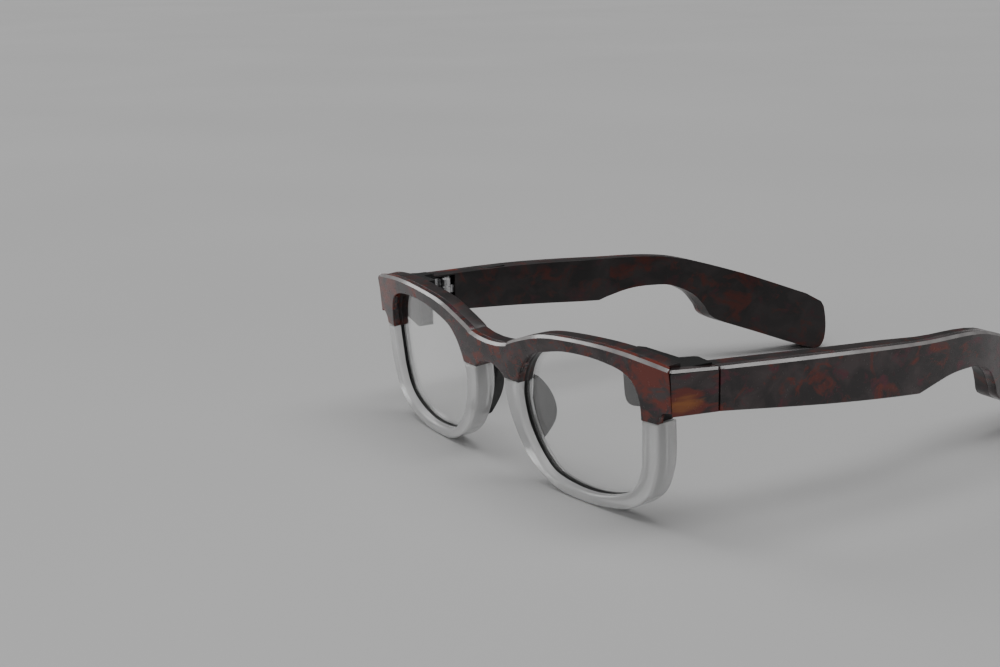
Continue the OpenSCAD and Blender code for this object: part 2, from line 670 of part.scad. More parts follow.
module battery() {
    color(foil) {
        z0 = low(battery_y[0]) + 1.6;
        inner_piece(battery_y, min(battery_t, room_t - 1.3), z0, top(battery_y[1]) - 1.8);
    }
}
module temple_board() {
    color(green) {
        m = mid_z(board_y[0]);
        inner_piece(board_y, 0.6, low(board_y[0]) + 1.7, button_z - switch_h, board_in);
        inner_piece([board_y[0] + 1, board_y[1] - 1.5], 0.9, m + 0.6, m + 2.6, board_in - 0.75);
    }
}
module speaker() {
    color(dark) {
        y = speaker_y;
        difference() {
            inner_piece(y, speaker_t, mid_z(y[1]) - 3.6, mid_z(y[0]) + 2.2);
            in_arm((y[0] + y[1]) / 2, part_mid + speaker_t / 2 + 1, mid_z(y[1]) - 0.8) rotate([0, 90, 0])
                cylinder(r = 1.9, h = 1.25);
        }
    }
}
module speaker_grille() {
    color(dark) {
        difference() {
            grille_shape();
            // five slots with a bar between each
            pitch = (grille_y[1] - grille_y[0] - 2.3) / 4;
            for (i = [0:4]) let (y = grille_y[0] + 0.9 + i * pitch) intersection() {
                grille_shape(-0.45, -1, 2);
                block([30, y, 0], [half_w + 8, y + 0.5, tall]);
            }
        }
    }
}
mic_y = shell_y + 9.5;
mic_t = min(1.8, room_t - 1);
mic_in = min(0.4, (room_t - mic_t) / 2 - 0.3);
module microphone() {
    color(foil) {
        z0 = low(mic_y) + edge_wall + 0.1;
        inner_piece([mic_y - 1.3, mic_y + 1.3], mic_t, z0, z0 + 1, mic_in);
    }
}
module mic_port() { in_arm(mic_y, part_mid - mic_in, low(mic_y) - 2) cylinder(r = 0.4, h = 4); }
module temple_flex() {
    color(copper) {
        y = [board_y[0] + 1, speaker_y[1] - 1];
        intersection() {
            along_z(layer(y[0], y[1], plate_t + 0.12, plate_t + 0.28, 12), 0, tall);
            along_x(concat([for (v = [y[0] - 1, y[1] + 1]) [v, mid_z(v) - 0.8]],
                [for (v = [y[1] + 1, y[0] - 1]) [v, mid_z(v) + 0.8]]), 30, half_w + 8);
        }
    }
}

placed() brow_front();
placed() brow_liner();
placed() lower_rim();  // lower_rim_left
placed() on_right() lower_rim();  // lower_rim_right
placed() lens();  // lens_left
placed() on_right() lens();  // lens_right
placed() lens_gasket();  // lens_gasket_left
placed() on_right() lens_gasket();  // lens_gasket_right
placed() nose_pad();  // nose_pad_left
placed() on_right() nose_pad();  // nose_pad_right
placed() end_cover();  // end_cover_left
placed() on_right() end_cover();  // end_cover_right
placed() end_housing();  // end_housing_left
placed() on_right() end_housing();  // end_housing_right
placed() housing_lid();  // housing_lid_left
placed() on_right() housing_lid();  // housing_lid_right
placed() end_board();  // end_board_left
placed() on_right() end_board();  // end_board_right
placed() housing_screws();
placed() bridge_flex();
placed() front_hinge_leaf();  // front_hinge_leaf_left
placed() on_right() front_hinge_leaf();  // front_hinge_leaf_right
placed() hinge_screw();  // hinge_screw_left
placed() on_right() hinge_screw();  // hinge_screw_right
placed() temple_plate();  // temple_plate_left
placed() on_right() temple_plate();  // temple_plate_right
placed() temple_shell(true);  // temple_shell_left
placed() on_right() temple_shell(false);  // temple_shell_right
placed() rear_hinge_leaf();  // rear_hinge_leaf_left
placed() on_right() rear_hinge_leaf();  // rear_hinge_leaf_right
placed() battery();  // battery_left
placed() on_right() battery();  // battery_right
placed() temple_board();  // temple_board_left
placed() on_right() temple_board();  // temple_board_right
placed() speaker();  // speaker_left
placed() on_right() speaker();  // speaker_right
placed() speaker_grille();  // speaker_grille_left
placed() on_right() speaker_grille();  // speaker_grille_right
placed() microphone();  // microphone_left
placed() on_right() microphone();  // microphone_right
placed() temple_flex();  // temple_flex_left
placed() on_right() temple_flex();  // temple_flex_right
placed() charge_contacts();
placed() on_right() touch_strip();
placed() on_right() action_button();
placed() on_right() button_switch();
placed() power_slider();
placed() slider_switch();
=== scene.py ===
import math

import bpy
import bmesh
import numpy as np
from mathutils import Matrix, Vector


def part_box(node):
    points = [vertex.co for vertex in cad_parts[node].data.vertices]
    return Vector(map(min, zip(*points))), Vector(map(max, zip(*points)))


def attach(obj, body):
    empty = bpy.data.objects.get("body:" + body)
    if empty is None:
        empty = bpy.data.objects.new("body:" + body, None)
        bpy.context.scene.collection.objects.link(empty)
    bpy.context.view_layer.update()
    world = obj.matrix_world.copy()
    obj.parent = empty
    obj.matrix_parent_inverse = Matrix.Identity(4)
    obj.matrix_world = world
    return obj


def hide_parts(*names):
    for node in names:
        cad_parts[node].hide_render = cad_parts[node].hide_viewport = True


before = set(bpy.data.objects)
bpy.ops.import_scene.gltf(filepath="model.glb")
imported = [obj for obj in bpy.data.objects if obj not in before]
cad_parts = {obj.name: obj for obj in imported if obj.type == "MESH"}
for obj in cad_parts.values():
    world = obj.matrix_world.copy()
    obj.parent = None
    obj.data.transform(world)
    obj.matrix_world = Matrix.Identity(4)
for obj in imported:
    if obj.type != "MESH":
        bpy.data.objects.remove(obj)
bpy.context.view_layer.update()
print("frame loaded")

mm = 0.001
sharpAngle = 32   # degrees between faces that meet in a crisp edge

# sizes shared by the front and the temples, in mm, in the model's own layout
front = dict(
    lensW=48.4, lensH=37.1, bridgeW=26.2, endW=10.4, rimBottom=3.1, rimSide=5.9, browW=3.7,
    plateDepth=2.2, depth=6.2, radius=412.0, leanDeg=5.1, leanZ=20.0,
    lensT=1.8, lensSeat=0.7, gasketWall=0.7, gasketSide=0.55, fitGap=0.05)
temple = dict(
    seamY=19.8, armLen=65.6, notchLen=41.2, tipLen=42.0, plateT=3.0, armT=7.3, notchT=5.4, tipT=8.4,
    armH=11.1, seamGap=0.35)

f, t = front, temple
originY = t["seamY"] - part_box("end_cover_left")[1][1] / mm   # the seam fixes the layout in the frame
halfW = f["bridgeW"] / 2 + f["lensW"] + f["endW"]
lensCx = f["bridgeW"] / 2 + f["lensW"] / 2
lensCz = f["rimBottom"] + f["lensH"] / 2
lensTop = f["rimBottom"] + f["lensH"]
browZ = lensTop + f["browW"]
neckZ = f["rimBottom"] + 0.65 * f["lensH"]
cornerZ = neckZ + 3.6


# point on the curve that runs smoothly through the given points, n steps from each to the next
def smoothCurve(points, n=8, closed=False):
    p = np.asarray(points, float)
    ends = (p[-1:], p[:2]) if closed else (2 * p[:1] - p[1:2], 2 * p[-1:] - p[-2:-1])
    q = np.concatenate([ends[0], p, ends[1]])
    a, b, c, d = (q[i:len(q) - 3 + i, None] for i in range(4))
    s = (np.arange(n) / n)[None, :, None]
    out = 0.5 * (2 * b + (c - a) * s + (2 * a - 5 * b + 4 * c - d) * s ** 2 + (3 * b - a - 3 * c + d) * s ** 3)
    out = out.reshape(-1, p.shape[1])
    return out if closed else np.concatenate([out, p[-1:]])


# the same path with n points, spaced evenly along its length
def evenly(path, n):
    run = np.concatenate([[0], np.cumsum(np.linalg.norm(np.diff(path, axis=0), axis=1))])
    s = np.linspace(0, run[-1], n)
    return np.stack([np.interp(s, run, path[:, k]) for k in range(path.shape[1])], -1)


# paths joined end to end, each cut into its own count, corners kept
def joined(parts):
    cut = [evenly(np.asarray(p, float), n + 1) for p, n in parts]
    return np.concatenate([c[:-1] for c in cut] + [cut[-1][-1:]])


# smooth value at y through [y, value] knots: cubic between knots, slope taken from the neighbours
def knotValue(y, knots):
    k = np.asarray(knots, float)
    y = np.asarray(y, float)
    lo = np.maximum(np.arange(len(k)) - 1, 0)
    hi = np.minimum(np.arange(len(k)) + 1, len(k) - 1)
    slope = (k[hi, 1] - k[lo, 1]) / (k[hi, 0] - k[lo, 0])
    i = np.clip(np.searchsorted(k[:, 0], y, "right") - 1, 0, len(k) - 2)
    h = k[i + 1, 0] - k[i, 0]
    s = (y - k[i, 0]) / h
    return ((1 + 2 * s) * (1 - s) ** 2 * k[i, 1] + s * (1 - s) ** 2 * h * slope[i]
            + s * s * (3 - 2 * s) * k[i + 1, 1] - s * s * (1 - s) * h * slope[i + 1])


# place of a point of the front: x and z across it, d behind its curved face, then the lean
def frontPlace(x, z, d):
    lean = math.radians(f["leanDeg"])
    y = f["radius"] - np.sqrt((f["radius"] - d) ** 2 - x * x)
    bow = f["radius"] - math.sqrt(f["radius"] ** 2 - lensCx ** 2)
    low = f["leanZ"] * (1 - math.cos(lean)) + bow * math.sin(lean)
    zz = z - f["leanZ"]
    return np.stack([x, y * math.cos(lean) - zz * math.sin(lean),
                     f["leanZ"] - low + zz * math.cos(lean) + y * math.sin(lean)], -1)


# the same, with the ends drawn in by the depth so that they meet the end covers on a mitre
def mitredPlace(x, z, d):
    share = np.clip((np.abs(x) - halfW + 6) / 6, 0, 1)
    return frontPlace(x - np.sign(x) * d * share, z, d)


faceKnots = [[t["seamY"], halfW + 0.1], [t["seamY"] + 0.54 * t["armLen"], halfW + 3.396]]
notchY = t["seamY"] + t["armLen"]
paddleY = notchY + t["notchLen"]
tipY = paddleY + t["tipLen"]
faceKnots += [[notchY, halfW + 2.7], [notchY + 0.65 * t["notchLen"], halfW - 1.7],
              [paddleY + 0.27 * t["tipLen"], halfW - 9.8], [tipY, halfW - 15.8]]
seamTop = lensTop + 0.4
seamBot = seamTop - t["armH"]
topKnots = [[t["seamY"], seamTop], [t["seamY"] + 0.54 * t["armLen"], seamTop - 1.1], [notchY, seamTop - 2.8],
            [notchY + 0.65 * t["notchLen"], 0.89 * seamTop], [paddleY + 0.1 * t["tipLen"], 0.765 * seamTop],
            [paddleY + 0.5 * t["tipLen"], 0.615 * seamTop], [paddleY + 0.86 * t["tipLen"], 0.47 * seamTop],
            [paddleY + 0.95 * t["tipLen"], 0.41 * seamTop]]
topEnd = topKnots[-1][0]


# place of a point of the left temple: y along it, z up, d inwards from its outer face
def templePlace(y, z, d):
    return np.stack([knotValue(y, faceKnots) - d, y, z], -1)


# surface spanned by four edges: the two blends of opposite edges less the blend of the corners
def patch(bottom, top, left, right):
    u = np.linspace(0, 1, len(bottom))[None, :, None]
    v = np.linspace(0, 1, len(left))[:, None, None]
    return ((1 - v) * bottom[None] + v * top[None] + (1 - u) * left[:, None] + u * right[:, None]
            - (1 - u) * (1 - v) * bottom[0] - u * (1 - v) * bottom[-1] - (1 - u) * v * top[0] - u * v * top[-1])


# inward normals of a closed counter-clockwise loop, longer at corners so that edges move evenly
def inward(loop):
    e = np.roll(loop, -1, 0) - loop
    e /= np.linalg.norm(e, axis=1)[:, None]
    m = e + np.roll(e, 1, 0)
    m /= np.maximum(np.linalg.norm(m, axis=1), 1e-9)[:, None]
    n = np.stack([-m[:, 1], m[:, 0]], -1)
    return n / np.maximum((m * e).sum(1), 0.6)[:, None]


# mesh from points in mm and quads: shifted into the frame, turned outwards where its volume,
# the sum of each triangle's corners multiplied together, comes out negative
def meshObject(name, verts, faces, body, mirror=False, paint=None):
    v = np.array(verts, float)
    if mirror:
        v[:, 0] *= -1
    v[:, 1] -= originY
    v *= mm
    quads = np.asarray(faces)
    a, b, c, d = (v[quads[:, k]] for k in range(4))
    volume = (np.cross(a, b) * c).sum() + (np.cross(a, c) * d).sum()
    if volume < 0:
        quads = quads[:, ::-1]
    me = bpy.data.meshes.new(name)
    me.from_pydata(v.tolist(), [], quads.tolist())
    if paint is not None:
        me.polygons.foreach_set("material_index", np.asarray(paint, np.int32))
    me.polygons.foreach_set("use_smooth", np.ones(len(me.polygons), bool))
    me.update()
    me.set_sharp_from_angle(angle=math.radians(sharpAngle))
    ob = bpy.data.objects.new(name, me)
    bpy.context.collection.objects.link(ob)
    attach(ob, body)
    return ob


# plate: a four-sided outline whose rings step inwards and deeper along a quarter circle, or along
# a straight chamfer, close to the near and far face, with walls that can dip into a groove
def plate(name, bottom, right, top, left, depth, place, body, ease=0.4, easeTop=None, easeRight=None,
          easeFar=None, groove=None, grooveOn="top", dome=0.0, mirror=False, steps=4):
    n, m = len(bottom), len(left)
    loop = np.concatenate([bottom, right[1:-1], top[::-1], left[::-1][1:-1]])
    side = np.concatenate([np.zeros(n), np.ones(m - 2), np.full(n, 2), np.full(m - 2, 3)])
    inn = inward(loop)
    size = np.full(len(loop), float(ease))
    flat = np.zeros(len(loop))
    for which, width in ((2, easeTop), (1, easeRight)):
        if width:
            size[side == which] = width
            flat[side == which] = 1
    if easeTop:
        size = (np.roll(size, 1) + size + np.roll(size, -1)) / 3
    far = np.full(len(loop), float(ease if easeFar is None else easeFar))
    thick = depth(loop[:, 0]) if callable(depth) else np.full(len(loop), float(depth))
    s = np.linspace(0, 1, steps + 1)[:, None]
    bow = (1 - np.sin(s * np.pi / 2), 1 - np.cos(s * np.pi / 2))
    insets = [(1 - flat) * bow[0] + flat * (1 - s), (1 - flat) * bow[1] + flat * s]
    rings = [(size * i, size * d) for i, d in zip(insets[0], insets[1])]
    eased = len(rings) - 1
    if groove:
        w = groove[2] * (side == dict(bottom=0, top=2)[grooveOn])
        near, deep = groove[0], groove[1]
        rings += [(inset, np.full_like(w, level)) for inset, level in
                  ((0 * w, near), (w, near), (w, deep), (0 * w, deep))]
    rings += [(far * i, thick - far * d) for i, d in zip(bow[0][::-1], bow[1][::-1])]
    pts = [np.concatenate([loop + inn * i[:, None], d[:, None]], 1) for i, d in rings]

    # the ring's four sides spanned by a patch
    def sheet(ring):
        b, r = ring[:n], ring[n - 1:n + m - 1]
        tp = ring[n + m - 2:2 * n + m - 2][::-1]
        l = np.concatenate([ring[:1], ring[2 * n + m - 2:][::-1], ring[2 * n + m - 3:2 * n + m - 2]])
        return patch(b, tp, l, r)

    grid = np.arange(n * m).reshape(m, n)
    edge = np.concatenate([grid[0], grid[1:-1, -1], grid[-1][::-1], grid[1:-1, 0][::-1]])
    faces, paint = [], []

    def addGrid(g, flip):
        q = np.stack([g[:-1, :-1], g[:-1, 1:], g[1:, 1:], g[1:, :-1]], -1).reshape(-1, 4)
        faces.append(q[:, ::-1] if flip else q)
        paint.append(np.zeros(len(q), int))

    nearFace, farFace = sheet(pts[0]), sheet(pts[-1])
    if dome:
        u = np.linspace(-1, 1, n)[None, :]
        v = np.linspace(-1, 1, m)[:, None]
        lift = dome * (1 - u ** 2) * (1 - v ** 2)
        nearFace[:, :, 2] -= lift
        farFace[:, :, 2] -= lift
    verts = [nearFace.reshape(-1, 3)] + pts[1:-1] + [farFace.reshape(-1, 3)]
    addGrid(grid, False)
    start = n * m
    before = edge
    k = len(loop)
    for r in range(1, len(pts)):
        now = start + np.arange(k) if r < len(pts) - 1 else start + edge
        q = np.stack([before, now, np.roll(now, -1), np.roll(before, -1)], -1)
        faces.append(q)
        # faces of the straight chamfers take the second material, the painted highlight
        paint.append(((flat > 0) & (r <= eased)).astype(int))
        start += k if r < len(pts) - 1 else 0
        before = now
    addGrid(start + grid, True)
    v = np.concatenate(verts)
    xyz = place(v[:, 0], v[:, 1], v[:, 2])
    return meshObject(name, xyz, np.concatenate(faces), body, mirror, np.concatenate(paint))


# band: a closed profile of (outwards, depth) points carried round a closed loop
def band(name, loop, profile, place, body, mirror=False):
    out = -inward(loop)
    p = np.asarray(profile, float)
    ab = loop[:, None] + out[:, None] * p[None, :, :1]
    d = np.broadcast_to(p[None, :, 1], ab.shape[:2])
    k, c = ab.shape[:2]
    idx = np.arange(k * c).reshape(k, c)
    nxt = np.roll(idx, -1, 0)
    q = np.stack([idx, nxt, np.roll(nxt, -1, 1), np.roll(idx, -1, 1)], -1).reshape(-1, 4)
    xyz = place(ab[..., 0].ravel(), ab[..., 1].ravel(), d.ravel())
    return meshObject(name, xyz, q, body, mirror)


# rounded rectangle as a closed profile, from (a0, b0) to (a1, b1), corners of radius r
def roundedBox(a0, a1, b0, b1, r, n=3):
    s = np.linspace(0, np.pi / 2, n + 1)
    corners = [(a1 - r, b0 + r, -np.pi / 2), (a1 - r, b1 - r, 0),
               (a0 + r, b1 - r, np.pi / 2), (a0 + r, b0 + r, np.pi)]
    return np.concatenate([np.stack([a + r * np.cos(s + w), b + r * np.sin(s + w)], -1) for a, b, w in corners])


# sizes of the bevelled copies: merge distance in metres, angles in degrees
smallPieces = dict(merge=2e-6, flatAngle=1.5, edgeAngle=30, segments=2)


# copy of a CAD node: points merged, flat facets joined, corners eased by a narrow bevel
def eased(node, body, width):
    angle = math.radians(smallPieces["edgeAngle"])
    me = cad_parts[node].data.copy()
    me.name = node + "Eased"
    bm = bmesh.new()
    bm.from_mesh(me)
    bmesh.ops.remove_doubles(bm, verts=bm.verts, dist=smallPieces["merge"])
    bmesh.ops.dissolve_limit(bm, angle_limit=math.radians(smallPieces["flatAngle"]), verts=bm.verts, edges=bm.edges)
    bm.to_mesh(me)
    bm.free()
    me.materials.clear()
    me.polygons.foreach_set("use_smooth", np.ones(len(me.polygons), bool))
    me.update()
    me.set_sharp_from_angle(angle=angle)
    ob = bpy.data.objects.new(node + "Eased", me)
    bpy.context.collection.objects.link(ob)
    mod = ob.modifiers.new("ease", "BEVEL")
    mod.limit_method = "ANGLE"
    mod.angle_limit = angle
    mod.width = width * mm
    mod.segments = smallPieces["segments"]
    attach(ob, body)
    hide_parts(node)
    return ob


# material with a Principled shader and object coordinates; sockets set by name, _ for a space
def newMaterial(name, **sockets):
    mat = bpy.data.materials.new(name)
    mat.use_nodes = True
    tree = mat.node_tree
    shader = tree.nodes["Principled BSDF"]
    for key, value in sockets.items():
        shader.inputs[key.replace("_", " ")].default_value = value
    where = tree.nodes.new("ShaderNodeTexCoord").outputs["Object"]
    return mat, tree, shader, where


# fractal noise at the given scale, its space stretched along each axis first
def noise(tree, where, scale, detail=4.0, rough=0.55, warp=0.0, stretch=(1, 1, 1)):
    fit = tree.nodes.new("ShaderNodeMapping")
    fit.inputs["Scale"].default_value = stretch
    tree.links.new(where, fit.inputs["Vector"])
    tex = tree.nodes.new("ShaderNodeTexNoise")
    tex.inputs["Scale"].default_value = scale
    tex.inputs["Detail"].default_value = detail
    tex.inputs["Roughness"].default_value = rough
    tex.inputs["Distortion"].default_value = warp
    tree.links.new(fit.outputs["Vector"], tex.inputs["Vector"])
    return tex.outputs["Fac"]


# colour between stops of (position, colour), read at a value
def ramp(tree, value, stops):
    node = tree.nodes.new("ShaderNodeValToRGB")
    line = node.color_ramp
    while len(line.elements) < len(stops):
        line.elements.new(0.5)
    for e, (at, colour) in zip(line.elements, stops):
        e.position = at
        e.color = (*colour, 1) if len(colour) == 3 else colour
    tree.links.new(value, node.inputs["Fac"])
    return node.outputs["Color"]


# a at share 0, b at share 1, and a straight blend between
def mixed(tree, share, a, b):
    node = tree.nodes.new("ShaderNodeMix")
    node.data_type = "RGBA"
    for socket, value in zip((node.inputs[0], node.inputs[6], node.inputs[7]), (share, a, b)):
        if isinstance(value, (int, float)):
            socket.default_value = value
        elif isinstance(value, tuple):
            socket.default_value = (*value, 1)
        else:
            tree.links.new(value, socket)
    return node.outputs[2]


# value carried in a straight line from lo..hi to outLo..outHi and held at the ends
def mapped(tree, value, lo, hi, outLo=0.0, outHi=1.0):
    node = tree.nodes.new("ShaderNodeMapRange")
    for key, v in zip(("From Min", "From Max", "To Min", "To Max"), (lo, hi, outLo, outHi)):
        node.inputs[key].default_value = v
    tree.links.new(value, node.inputs["Value"])
    return node.outputs["Result"]


# one sum or product of two values
def calc(tree, kind, a, b):
    node = tree.nodes.new("ShaderNodeMath")
    node.operation = kind
    for socket, value in zip(node.inputs, (a, b)):
        if isinstance(value, (int, float)):
            socket.default_value = value
        else:
            tree.links.new(value, socket)
    return node.outputs[0]


# surface tilted by the slope of a height
def bumpy(tree, shader, height, strength, distance):
    node = tree.nodes.new("ShaderNodeBump")
    node.inputs["Strength"].default_value = strength
    node.inputs["Distance"].default_value = distance
    tree.links.new(height, node.inputs["Height"])
    tree.links.new(node.outputs["Normal"], shader.inputs["Normal"])


# colours and noise scales of the mottled sheet: dark ground, wine-red clouds, amber flecks
mottle = dict(ground=(0.024, 0.019, 0.02), smoke=(0.06, 0.044, 0.045), wine=(0.15, 0.024, 0.014),
              plum=(0.1, 0.018, 0.03), amber=(0.3, 0.1, 0.02), cloud=165.0, fleck=95.0)


# polished mottled acetate: each noise, past its threshold, lays its colour over those below it
def mottledAcetate(name, wineShare, amberShare, stretch=(1, 1, 1), shift=0.0, cornerGlow=0.0, deep=1.0,
                   gloss=0.2, spot=None):
    mat, tree, shader, where = newMaterial(name, IOR=1.45, Coat_Weight=0.15, Coat_Roughness=0.06)
    move = tree.nodes.new("ShaderNodeMapping")
    move.inputs["Location"].default_value = (shift, shift * 0.7, -shift)
    tree.links.new(where, move.inputs["Vector"])
    at = move.outputs["Vector"]
    smoke = noise(tree, at, mottle["cloud"] * 0.8, 4, 0.55, 0.6, stretch)
    wine = noise(tree, at, mottle["cloud"], 5, 0.6, 0.9, stretch)
    plum = noise(tree, at, mottle["cloud"] * 1.4, 4, 0.6, 0.5, stretch)
    amber = noise(tree, at, mottle["fleck"], 4, 0.55, 0.8, stretch)
    split = tree.nodes.new("ShaderNodeSeparateXYZ")
    tree.links.new(where, split.inputs["Vector"])
    if spot:
        # one larger patch of amber: its strength falls with the squared distance from its middle
        away = []
        for axis in (0, 1):
            off = calc(tree, "SUBTRACT", split.outputs[axis + 1], spot["at"][axis])
            off = calc(tree, "MULTIPLY", off, 1 / spot["reach"][axis])
            away.append(calc(tree, "MULTIPLY", off, off))
        near = mapped(tree, calc(tree, "ADD", *away), 0, 1, spot["strength"], 0)
        amber = calc(tree, "ADD", amber, near)
        wine = calc(tree, "ADD", wine, near)
    if cornerGlow:
        side = calc(tree, "ABSOLUTE", split.outputs["X"], 0)
        glow = mapped(tree, side, (halfW - 24) * mm, (halfW - 3) * mm, 0, cornerGlow)
        wine = calc(tree, "ADD", wine, glow)
        amber = calc(tree, "ADD", amber, calc(tree, "MULTIPLY", glow, 0.5))
    dim = lambda c: tuple(v * deep for v in c)
    base = mixed(tree, mapped(tree, smoke, 0.42, 0.62), dim(mottle["ground"]), dim(mottle["smoke"]))
    tint = mixed(tree, mapped(tree, plum, 0.56, 0.7), base, dim(mottle["plum"]))
    red = mixed(tree, mapped(tree, wine, 0.62 - wineShare, 0.74 - wineShare), tint, dim(mottle["wine"]))
    gold = mixed(tree, mapped(tree, amber, 0.72 - amberShare, 0.88 - amberShare), red, dim(mottle["amber"]))
    tree.links.new(gold, shader.inputs["Base Color"])
    polish = mapped(tree, noise(tree, where, 900, 2), 0.3, 0.7, gloss, gloss + 0.08)
    tree.links.new(polish, shader.inputs["Roughness"])
    bumpy(tree, shader, noise(tree, where, 260, 2), 0.04, 0.0001)
    return mat


# the polished chamfer, painted pale as a painted highlight, the reflection of the lights along it: two greys
# blended by noise
def paintedHighlightEdge(name):
    mat, tree, shader, where = newMaterial(name, Roughness=0.25, Coat_Weight=0.5, Coat_Roughness=0.1)
    stops = [(0.3, (0.22, 0.21, 0.21)), (0.7, (0.36, 0.345, 0.34))]
    tree.links.new(ramp(tree, noise(tree, where, 160, 3), stops), shader.inputs["Base Color"])
    return mat


# near black with a fine grain that lifts both the height and the roughness
def satinBlack(name, level=0.012, rough=0.42, grain=2200.0, depth=0.00002):
    mat, tree, shader, where = newMaterial(name, Roughness=rough, IOR=1.36)
    stops = [(0.35, (level,) * 3), (0.7, (level * 1.5,) * 3)]
    tree.links.new(ramp(tree, noise(tree, where, 180, 3), stops), shader.inputs["Base Color"])
    fine = noise(tree, where, grain, 2, 0.6)
    tree.links.new(mapped(tree, fine, 0.3, 0.7, rough - 0.05, rough + 0.07), shader.inputs["Roughness"])
    bumpy(tree, shader, fine, 0.25, depth)
    return mat


# clear or milky: the share that passes light is set by clear, its tint waves a little
def clearPlastic(name, tint, ior, rough, clear=1.0, coat=0.0):
    mat, tree, shader, where = newMaterial(name, IOR=ior, Transmission_Weight=clear, Coat_Weight=coat,
                                           Coat_Roughness=0.04)
    stops = [(0.3, tint), (0.7, tuple(min(1, c + 0.015) for c in tint))]
    tree.links.new(ramp(tree, noise(tree, where, 60, 2), stops), shader.inputs["Base Color"])
    haze = mapped(tree, noise(tree, where, 700, 3), 0.3, 0.7, rough, rough + 0.03)
    tree.links.new(haze, shader.inputs["Roughness"])
    return mat


# metal brushed along one axis: the stretched noise lifts the roughness and the height
def metal(name, colour, rough):
    mat, tree, shader, where = newMaterial(name, Metallic=1.0)
    stops = [(0.3, tuple(c * 0.85 for c in colour)), (0.7, colour)]
    tree.links.new(ramp(tree, noise(tree, where, 400, 4), stops), shader.inputs["Base Color"])
    brushed = noise(tree, where, 1500, 3, 0.6, 0, (1, 0.15, 1))
    tree.links.new(mapped(tree, brushed, 0.3, 0.7, rough, rough + 0.15), shader.inputs["Roughness"])
    bumpy(tree, shader, brushed, 0.05, 0.000004)
    return mat


# inner part: a colour and its darker shade blended by noise, with a waving roughness
def plainPart(name, colour, rough, scale=500.0):
    mat, tree, shader, where = newMaterial(name)
    stops = [(0.35, tuple(c * 0.8 for c in colour)), (0.7, colour)]
    tree.links.new(ramp(tree, noise(tree, where, scale, 3), stops), shader.inputs["Base Color"])
    matt = mapped(tree, noise(tree, where, scale * 2, 2), 0.3, 0.7, rough - 0.08, rough + 0.08)
    tree.links.new(matt, shader.inputs["Roughness"])
    return mat


finishes = dict(
    brow=mottledAcetate("mottledBrow", 0.1, 0.0, (1, 1, 1.3), 0.03, 0.14),
    cover=mottledAcetate("mottledCover", 0.08, 0.02, (1, 0.5, 1.6), 0.11,
                         spot=dict(at=((0.45 * t["seamY"] - originY) * mm, 33 * mm),
                                   reach=(0.008, 0.0045), strength=0.33)),
    arm=mottledAcetate("mottledArm", 0.05, 0.0, (1, 0.75, 1), 0.2, deep=1.1),
    inner=mottledAcetate("darkMottled", 0.1, -0.02, (1, 0.7, 1), 0.27, deep=0.42, gloss=0.38),
    # the edge finish is the painted highlight laid on the chamfers
    edge=paintedHighlightEdge("chamferPaintedHighlight"),
    black=satinBlack("satinBlack"),
    rubber=satinBlack("padRubber", 0.024, 0.55, 1500, 0.00003),
    gasket=satinBlack("gasketRubber", 0.01, 0.5),
    crystal=clearPlastic("crystalAcetate", (0.985, 0.987, 0.987), 1.42, 0.2, 0.62, 0.4),
    lens=clearPlastic("lensGlass", (0.985, 0.99, 0.985), 1.66, 0.0, 1.0, 0.4),
    steel=metal("hingeSteel", (0.72, 0.72, 0.73), 0.25),
    gold=metal("contactGold", (0.85, 0.62, 0.28), 0.25),
    board=plainPart("boardGreen", (0.02, 0.13, 0.07), 0.4),
    flex=plainPart("flexFilm", (0.5, 0.22, 0.05), 0.35), foil=plainPart("cellFoil", (0.5, 0.51, 0.53), 0.35),
    dark=satinBlack("darkParts", 0.025, 0.5), control=satinBlack("controlPlastic", 0.02, 0.36, 3000))


# material of the piece, and a second one for its chamfer
def finish(ob, key, second=None):
    ob.data.materials.append(finishes[key])
    if second:
        ob.data.materials.append(finishes[second])


print("materials made")

# outlines of the front, in x and z, as shares of the half sizes of the opening and the rim
openingShape = [[-0.51, -0.92], [-0.18, -1], [0.19, -1], [0.55, -0.9], [0.81, -0.72], [0.94, -0.41],
                [0.975, -0.09], [1, 0.29], [0.99, 0.56], [0.92, 0.79], [0.78, 0.91], [0.57, 0.97], [0.28, 1],
                [-0.09, 0.98], [-0.38, 0.91], [-0.65, 0.81], [-0.81, 0.66], [-0.92, 0.45], [-0.985, 0.21],
                [-0.99, 0], [-0.94, -0.28], [-0.84, -0.52], [-0.7, -0.74]]
rimShape = [[-1, 0.26], [-0.998, 0.08], [-0.98, -0.08], [-0.93, -0.26], [-0.82, -0.52], [-0.69, -0.72],
            [-0.5, -0.88], [-0.3, -0.97], [-0.04, -1], [0.26, -0.98], [0.6, -0.88], [0.83, -0.66],
            [0.94, -0.35], [0.975, -0.08], [0.987, 0.26]]
opening = smoothCurve([[lensCx + p[0] * f["lensW"] / 2, lensCz + p[1] * f["lensH"] / 2]
                       for p in openingShape], 16, True)
rimOutside = smoothCurve([[lensCx + p[0] * (f["lensW"] / 2 + f["rimSide"]),
                           neckZ if p[1] > 0.2 else lensCz + p[1] * (f["lensH"] / 2 + f["rimBottom"])]
                          for p in rimShape], 12)
rimInX, rimOutX = rimOutside[0, 0], rimOutside[-1, 0]
kinkX = f["bridgeW"] / 2 - 4
bridgeTop = smoothCurve([[0, browZ - 7.7], [0.55 * kinkX, browZ - 7.4], [kinkX, browZ - 6.7]], 10)
wingShape = [[0, -6.7], [0.02, -5.9], [0.115, -3.8], [0.255, -1.4], [0.41, -0.4], [0.585, 0], [0.73, -0.2],
             [0.85, -0.9], [1, -2.1]]
wingTop = smoothCurve([[kinkX + p[0] * (halfW - kinkX), browZ + p[1]] for p in wingShape], 12)
browTop = np.concatenate([bridgeTop[:-1], wingTop])
